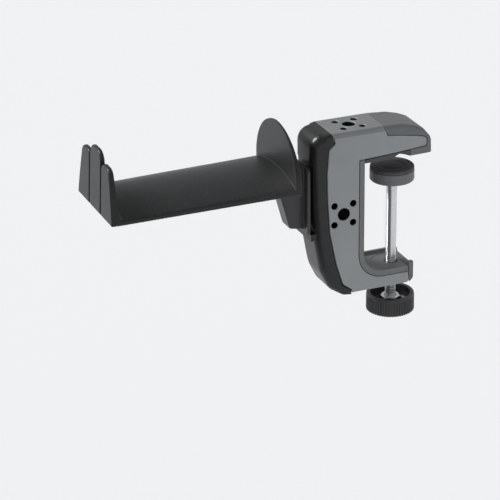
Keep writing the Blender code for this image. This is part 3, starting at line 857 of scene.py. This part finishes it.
def fillet_strip(low, high, radius=3.2):
    """A concave corner strip between the fingers' backs and the arch, from y low to y high."""
    steps = 8
    points = []
    rows = 24
    for row in range(rows + 1):
        y = low + (high - low) * row / rows
        base = arch_height(-149.0, y)
        arc = []
        for step in range(steps + 1):
            turn = math.pi / 2 * step / steps
            arc.append((-149.2 + radius * (1 - math.sin(turn)), base - 0.02 + radius * (1 - math.cos(turn))))
        arc += [(-149.9, arc[-1][1]), (-149.9, base - 0.8), (arc[0][0], base - 0.8)]
        points += [(x, y, z) for x, z in arc]
    return mesh_object("fillet", points, ring_faces(steps + 4, rows + 1))


def make_hook():
    hook = make_arch()
    join(hook, make_disc())
    for side in (0, 1, -1):
        join(hook, make_finger(side))
    for low, high in ((-8.0, 8.0), (9.2, 24.4), (-24.4, -9.2)):
        join(hook, fillet_strip(low, high))
    for side in (-1, 1):
        slot = (side * SLOT_Y - 0.5, side * SLOT_Y + 0.5)
        cut(hook, block("slot", (-160.0, slot[0], -10.0), (-149.2, slot[1], 40.0)))
    for x in BOSS_XS:
        join(hook, lathe("boss", [(0, -1.3), (3.6, -1.3), (3.6, 1.6), (0, 1.6)], (x, 0, 0), 40))
        cut(hook, lathe("pilot", [(0, -3.0), (1.75, -3.0), (1.75, 2.2), (0, 2.2)], (x, 0, 0), 24))
    return hook


saddle_hook = make_hook()
finish_piece(saddle_hook, (hook_black,), "clamp", ("hook_body",))

# %% [markdown]
# ## Mounting bracket
#
# Behind the disc a square plate lies against the clamp's spine, and a narrow foot runs under the
# arch, held by two screws. The plate's bevelled edge is what catches the light.

# %% Mounting bracket
def make_bracket():
    foot = [
        (-76.0, -1.7), (-54.0, -1.7), (-54.0, -5.4), (-49.0, -5.4), (-48.7, 0.4), (-38.5, 0.4),
        (-38.5, -34.4), (-47.7, -32.6, 1.2), (-55.4, -4.6), (-76.0, -4.6),
    ]
    bracket = rounded_slab("hook_bracket", foot, -5.0, 5.0, edge=0.6, steps=4)
    plate = [(-9.7, -35.9, 1.2), (9.7, -35.9, 1.2), (9.7, 1.1, 2.4), (-9.7, 1.1, 2.4)]
    join(bracket, rounded_slab("plate", plate, -39.5, -37.8, edge=0.35, along="X"))
    join(bracket, block("spigot", (-38.6, -4.8, -30.6), (-33.7, 4.8, -5.4)))
    way = [(0, -47.8), (2.75, -47.8), (2.75, -30.0), (0, -30.0)]
    cut(bracket, lathe("bolt_way", way, (0, 0, BOLT_Z), 32, "X"))
    cut(bracket, block("nut_slot", (-46.0, -4.3, -17.3), (-41.4, 6.0, -8.7)))
    for x in BOSS_XS:
        cut(bracket, lathe("screw_way", [(0, -8.0), (1.8, -8.0), (1.8, 2.0), (0, 2.0)], (x, 0, 0), 24))
    return bracket


hook_bracket = make_bracket()
finish_piece(hook_bracket, (bracket_black,), "clamp", ("mounting_bracket",))

# %% [markdown]
# ## Geometry Nodes for what repeats
#
# The screw's thread and the ribs round the knob repeat dozens of times. Modelling each by hand
# would be slow and hard to change, so each is a small node tree with named sizes. The helper runs a
# tree on an empty object and keeps the plain mesh that comes out.

# %% Running a node tree
def new_geometry_tree(name, sizes):
    tree = bpy.data.node_groups.new(name, "GeometryNodeTree")
    for label, kind in sizes:
        tree.interface.new_socket(name=label, in_out="INPUT", socket_type=f"NodeSocket{kind}")
    tree.interface.new_socket(name="Finish", in_out="INPUT", socket_type="NodeSocketMaterial")
    tree.interface.new_socket(name="Mesh", in_out="OUTPUT", socket_type="NodeSocketGeometry")
    return tree, add_node(tree, "NodeGroupInput").outputs, add_node(tree, "NodeGroupOutput").inputs


def end_tree(tree, given, made, geometry):
    """Realizes the instances, sets the material and hands the mesh out."""
    real = add_node(tree, "GeometryNodeRealizeInstances")
    wire(tree, geometry, real.inputs[0])
    painted = add_node(tree, "GeometryNodeSetMaterial")
    wire(tree, real.outputs[0], painted.inputs["Geometry"])
    wire(tree, given["Finish"], painted.inputs["Material"])
    wire(tree, painted.outputs[0], made["Mesh"])


def run_tree(tree, name, **sizes):
    """A plain mesh object from the tree. Each size is set by its socket's identifier."""
    host = bpy.data.objects.new(name, bpy.data.meshes.new(name))
    bpy.context.collection.objects.link(host)
    run = host.modifiers.new("grow", "NODES")
    run.node_group = tree
    for item in tree.interface.items_tree:
        label = item.name.replace(" ", "_")
        if item.item_type == "SOCKET" and item.in_out == "INPUT" and label in sizes:
            run[item.identifier] = sizes[label]
    apply_modifiers(host)
    build = bmesh.new()
    build.from_mesh(host.data)
    bmesh.ops.remove_doubles(build, verts=build.verts, dist=1e-7)
    bmesh.ops.recalc_face_normals(build, faces=build.faces)
    build.to_mesh(host.data)
    build.free()
    return host


# %% The thread tree
def make_thread_tree():
    """A ridge wound round a rod: a spiral with a small round profile swept along it."""
    sizes = [(label, "Float") for label in ("Radius", "Turns", "Pitch", "Ridge")] + [("Base", "Vector")]
    tree, given, made = new_geometry_tree("thread", sizes)
    spiral = add_node(tree, "GeometryNodeCurveSpiral")
    spiral.inputs["Resolution"].default_value = 28
    wire(tree, given["Turns"], spiral.inputs["Rotations"])
    wire(tree, given["Radius"], spiral.inputs["Start Radius"])
    wire(tree, given["Radius"], spiral.inputs["End Radius"])
    wire(tree, math_node(tree, "MULTIPLY", given["Turns"], given["Pitch"]), spiral.inputs["Height"])
    ridge = add_node(tree, "GeometryNodeCurvePrimitiveCircle")
    ridge.inputs["Resolution"].default_value = 6
    wire(tree, given["Ridge"], ridge.inputs["Radius"])
    sweep = add_node(tree, "GeometryNodeCurveToMesh")
    wire(tree, spiral.outputs["Curve"], sweep.inputs["Curve"])
    wire(tree, ridge.outputs["Curve"], sweep.inputs["Profile Curve"])
    sweep.inputs["Fill Caps"].default_value = True
    move = add_node(tree, "GeometryNodeTransform")
    wire(tree, sweep.outputs[0], move.inputs["Geometry"])
    wire(tree, given["Base"], move.inputs["Translation"])
    end_tree(tree, given, made, move.outputs[0])
    return tree


THREAD = make_thread_tree()
print("thread tree inputs:", [i.name for i in THREAD.interface.items_tree if i.in_out == "INPUT"])


# %% The rib tree
def make_rib_tree():
    """Upright ribs round a knob: a ring of points, and a bar with tapered ends at each."""
    sizes = [("Count", "Int")] + [(label, "Float") for label in ("Radius", "Width", "Length")]
    sizes.append(("Base", "Vector"))
    tree, given, made = new_geometry_tree("knob_ribs", sizes)
    ring = add_node(tree, "GeometryNodeMeshCircle")
    wire(tree, given["Count"], ring.inputs["Vertices"])
    wire(tree, given["Radius"], ring.inputs["Radius"])
    top = add_node(tree, "ShaderNodeCombineXYZ")
    wire(tree, given["Length"], top.inputs["Z"])
    line = add_node(tree, "GeometryNodeCurvePrimitiveLine")
    wire(tree, top.outputs[0], line.inputs["End"])
    split = add_node(tree, "GeometryNodeResampleCurve")
    wire(tree, line.outputs[0], split.inputs["Curve"])
    split.inputs["Count"].default_value = 9
    along = add_node(tree, "GeometryNodeSplineParameter")
    from_middle = math_node(tree, "MULTIPLY_ADD", along.outputs["Factor"], 2.0, -1.0)
    centred = math_node(tree, "ABSOLUTE", from_middle)
    taper = math_node(tree, "SUBTRACT", 1.0, math_node(tree, "POWER", centred, 8.0))
    round_end = math_node(tree, "SQRT", math_node(tree, "MAXIMUM", taper, 0.02))
    thick = add_node(tree, "GeometryNodeSetCurveRadius")
    wire(tree, split.outputs[0], thick.inputs["Curve"])
    wire(tree, round_end, thick.inputs["Radius"])
    section = add_node(tree, "GeometryNodeCurvePrimitiveCircle")
    section.inputs["Resolution"].default_value = 8
    wire(tree, math_node(tree, "MULTIPLY", given["Width"], 0.5), section.inputs["Radius"])
    bar = add_node(tree, "GeometryNodeCurveToMesh")
    wire(tree, thick.outputs[0], bar.inputs["Curve"])
    wire(tree, section.outputs[0], bar.inputs["Profile Curve"])
    bar.inputs["Fill Caps"].default_value = True
    place = add_node(tree, "GeometryNodeInstanceOnPoints")
    wire(tree, ring.outputs["Mesh"], place.inputs["Points"])
    wire(tree, bar.outputs[0], place.inputs["Instance"])
    move = add_node(tree, "GeometryNodeTransform")
    wire(tree, place.outputs[0], move.inputs["Geometry"])
    wire(tree, given["Base"], move.inputs["Translation"])
    end_tree(tree, given, made, move.outputs[0])
    return tree


RIBS = make_rib_tree()
print("rib tree inputs:", [i.name for i in RIBS.interface.items_tree if i.in_out == "INPUT"])

# %% [markdown]
# ## Clamping screw
#
# The spindle is an M6 rod of bright zinc-plated steel. The rod is turned a little thinner than the
# thread, and the thread tree winds the ridge onto it. The journal at the top carries the plate.

# %% Spindle
def make_spindle():
    rod = [
        (0, -91.6), (2.4, -91.6), (2.72, -91.3), (2.72, -16.4), (2.5, -16.1), (2.2, -16.1), (2.2, -12.35),
        (1.7, -12.35), (1.7, -11.05), (2.2, -11.05), (2.2, -10.3), (0, -10.3),
    ]
    return lathe("spindle_rod", rod, (SPINDLE_X, 0, 0), 48)


spindle_rod = make_spindle()
finish_piece(spindle_rod, (bright_zinc,), "screw", ("spindle",))
thread = run_tree(
    THREAD, "spindle_thread", Radius=2.66 * MM, Turns=74.0, Pitch=1.0 * MM, Ridge=0.3 * MM,
    Base=(SPINDLE_X * MM, 0.0, -90.9 * MM), Finish=bright_zinc,
)
finish_piece(thread, (bright_zinc,), "screw", ("spindle",), angle=70.0)


# %% Nuts
def make_nut(name, low, high, flats=10.0):
    """A hexagon nut. Its corners are turned off at both ends by a wide cone, as a real one's are."""
    across = flats / math.sqrt(3)
    nut = lathe(name, [(0, low), (across, low), (across, high), (0, high)], (SPINDLE_X, 0, 0), 6)
    cone = [(0, low), (flats / 2 * 0.95, low), (across + 0.35, low + 0.9), (across + 0.35, high - 0.9),
            (flats / 2 * 0.95, high), (0, high)]
    combine(nut, [lathe("cone", cone, (SPINDLE_X, 0, 0), 64)], "INTERSECT")
    bore = [(0, low - 1), (4.2, low - 1), (3.2, low + 0.5), (3.2, high - 0.5), (4.2, high + 1), (0, high + 1)]
    cut(nut, lathe("bore", bore, (SPINDLE_X, 0, 0), 40))
    return nut


jam_nut = make_nut("jam_nut", -89.2, -84.2)
finish_piece(jam_nut, (bright_zinc,), "screw", ("knob_nut",), angle=20.0)
captive_nut = make_nut("captive_nut", -72.0, -67.2)
finish_piece(captive_nut, (bright_zinc,), "clamp", ("jaw_nut",), angle=20.0)

# %% [markdown]
# ## Knob
#
# A turned cup with a plain rim, gripped by fine upright ribs. The cup is a lathe profile, and the rib
# tree sets 56 bars into its wall.

# %% Knob
KNOB_TOP = -82.3
KNOB_BOTTOM = -92.8


def make_knob():
    profile = [
        (0, KNOB_BOTTOM), (10.6, KNOB_BOTTOM), (11.8, KNOB_BOTTOM + 0.35), (12.4, KNOB_BOTTOM + 1.0),
        (12.6, KNOB_BOTTOM + 1.9), (12.6, KNOB_TOP - 1.3), (13.0, KNOB_TOP - 0.9), (13.0, KNOB_TOP - 0.45),
        (12.8, KNOB_TOP - 0.12), (12.4, KNOB_TOP), (11.3, KNOB_TOP), (10.9, KNOB_TOP - 0.2),
        (10.75, KNOB_TOP - 0.6), (10.6, -88.6), (10.2, -89.2), (9.6, -89.4), (4.9, -89.4), (4.9, -92.0),
        (0, -92.0),
    ]
    return lathe("knob_cup", profile, (SPINDLE_X, 0, 0), 112)


knob_cup = make_knob()
finish_piece(knob_cup, (knob_black,), "screw", ("knob",))
knob_grip = run_tree(
    RIBS, "knob_grip", Count=56, Radius=12.72 * MM, Width=0.9 * MM, Length=8.6 * MM,
    Base=(SPINDLE_X * MM, 0.0, -92.0 * MM), Finish=knob_black,
)
finish_piece(knob_grip, (knob_black,), "screw", ("knob",), angle=60.0)

# %% [markdown]
# ## Pressure plate
#
# The plate turns on the spindle's journal and presses the table up against the jaw. Its dish is
# ribbed underneath, and a rubber pad with rings is glued on top.

# %% Pressure plate and pad
def make_plate():
    profile = [
        (2.55, -15.8), (5.3, -15.8), (5.6, -15.5), (6.2, -12.9), (10.2, -12.9), (10.6, -15.5), (10.9, -15.8),
        (11.6, -15.8), (12.0, -15.3), (12.0, -10.3), (11.6, -9.8), (5.4, -9.8), (5.4, -12.5), (2.55, -12.5),
    ]
    return lathe("pressure_dish", profile, (SPINDLE_X, 0, 0), 80)


def make_pad():
    rings = [(9.9, 0.35), (8.9, 0.0), (7.3, 0.0), (6.6, 0.35), (5.4, 0.35), (4.7, 0.0)]
    profile = [(0, -9.5), (11.6, -9.5), (11.9, -9.2), (11.9, -8.5), (11.4, -8.0), (10.6, -8.0)]
    profile += [(radius, -8.0 - depth) for radius, depth in rings] + [(0, -8.0)]
    return lathe("pressure_rubber", profile, (SPINDLE_X, 0, 0), 80)


pressure_dish = make_plate()
finish_piece(pressure_dish, (cap_black,), "presser", ("pressure_plate",))
pressure_rubber = make_pad()
finish_piece(pressure_rubber, (pad_rubber,), "presser", ("pressure_pad",))

# %% [markdown]
# ## Small parts kept from the CAD
#
# The bolt, washer, clip and bracket screws are already the right shape and mostly hidden, so they
# stay as they are and only get their metal.

# %% Carried-over parts
STEEL_NODES = (
    "holder_bolt", "holder_washer", "holder_nut",
    "bracket_screw_front", "bracket_screw_rear", "retaining_clip",
)
for node, look in [(name, bright_zinc) for name in STEEL_NODES] + [("knob_insert", brass)]:
    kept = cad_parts[node]
    for slot in kept.material_slots:
        slot.material = look
    print("kept", node)
